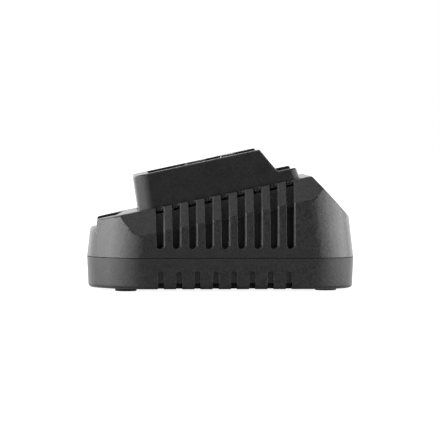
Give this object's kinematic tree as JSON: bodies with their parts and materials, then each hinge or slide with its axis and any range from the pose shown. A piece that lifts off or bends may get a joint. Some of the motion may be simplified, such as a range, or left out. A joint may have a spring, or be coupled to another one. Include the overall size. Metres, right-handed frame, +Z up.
{
  "type": "power tool battery charger",
  "caption": "Wedge-shaped bench charger with a sloping channel dock for slide-on tool batteries, slotted sides and a rear mains inlet.",
  "frame": {"origin": "middle of the resting plane of the feet, under the centre of the housing", "axes": "+X from the low front to the high rear, +Y towards the far side, +Z up"},
  "size_m": [0.1486, 0.096, 0.0783],
  "materials": {
    "housing_plastic": "fine textured charcoal ABS",
    "dock_plastic": "fine textured charcoal glass-filled nylon",
    "terminal_plastic": "smooth black nylon",
    "contact_metal": "nickel plated brass",
    "lens_plastic": "smoked polycarbonate",
    "clear_plastic": "clear acrylic",
    "led_plastic": "tinted epoxy",
    "foot_rubber": "black rubber",
    "screw_steel": "black zinc plated steel",
    "board_laminate": "glass-epoxy board with green solder mask",
    "ferrite": "sintered ferrite",
    "bobbin_plastic": "phenolic moulding",
    "winding_tape": "copper winding under polyester tape",
    "copper_wire": "enamelled copper",
    "capacitor_sleeve": "shrink sleeve on an aluminium can",
    "film_capacitor": "moulded film capacitor",
    "sink_aluminium": "extruded aluminium",
    "chip_epoxy": "moulded epoxy",
    "fuse_glass": "clear glass",
    "fuse_metal": "nickel plated brass",
    "fan_plastic": "black PBT",
    "bearing_bronze": "sintered bronze",
    "shaft_steel": "ground steel",
    "inlet_plastic": "black nylon",
    "mains_insulation": "PVC insulated wire",
    "output_insulation": "PVC insulated wire",
    "signal_insulation": "PVC insulated wire"
  },
  "bodies": {
    "housing": {"base_tray": "housing_plastic", "upper_shell": "housing_plastic", "battery_dock": "dock_plastic", "terminal_block": "terminal_plastic", "power_blades": "contact_metal", "signal_blades": "contact_metal", "indicator_lens": "lens_plastic", "light_pipes": "clear_plastic", "indicator_leds": "led_plastic", "circuit_board": "board_laminate", "board_screws": "screw_steel", "transformer_core": "ferrite", "transformer_bobbin": "bobbin_plastic", "transformer_winding": "winding_tape", "choke_core": "ferrite", "choke_windings": "copper_wire", "fuse_tube": "fuse_glass", "fuse_caps": "fuse_metal", "fuse_clips": "fuse_metal", "suppression_capacitor": "film_capacitor", "bridge_rectifier": "chip_epoxy", "control_chip": "chip_epoxy", "bulk_capacitor": "capacitor_sleeve", "output_capacitors": "capacitor_sleeve", "heat_sink": "sink_aluminium", "power_transistors": "chip_epoxy", "transistor_screws": "screw_steel", "fan_frame": "fan_plastic", "fan_bearing": "bearing_bronze", "fan_stator": "copper_wire", "inlet_body": "inlet_plastic", "inlet_pins": "contact_metal", "inlet_wires": "mains_insulation", "output_wires": "output_insulation", "signal_wires": "signal_insulation", "fan_lead": "signal_insulation", "housing_screws": "screw_steel", "dock_screws": "screw_steel", "rubber_feet": "foot_rubber"},
    "fan_rotor": {"fan_impeller": "fan_plastic", "fan_shaft": "shaft_steel"}
  },
  "joints": [
    {"name": "fan_spin", "type": "hinge", "parent": "housing", "child": "fan_rotor", "pos_m": [0.04331, 0, 0.0239], "axis": [1, 0, 0], "continuous": true}
  ]
}
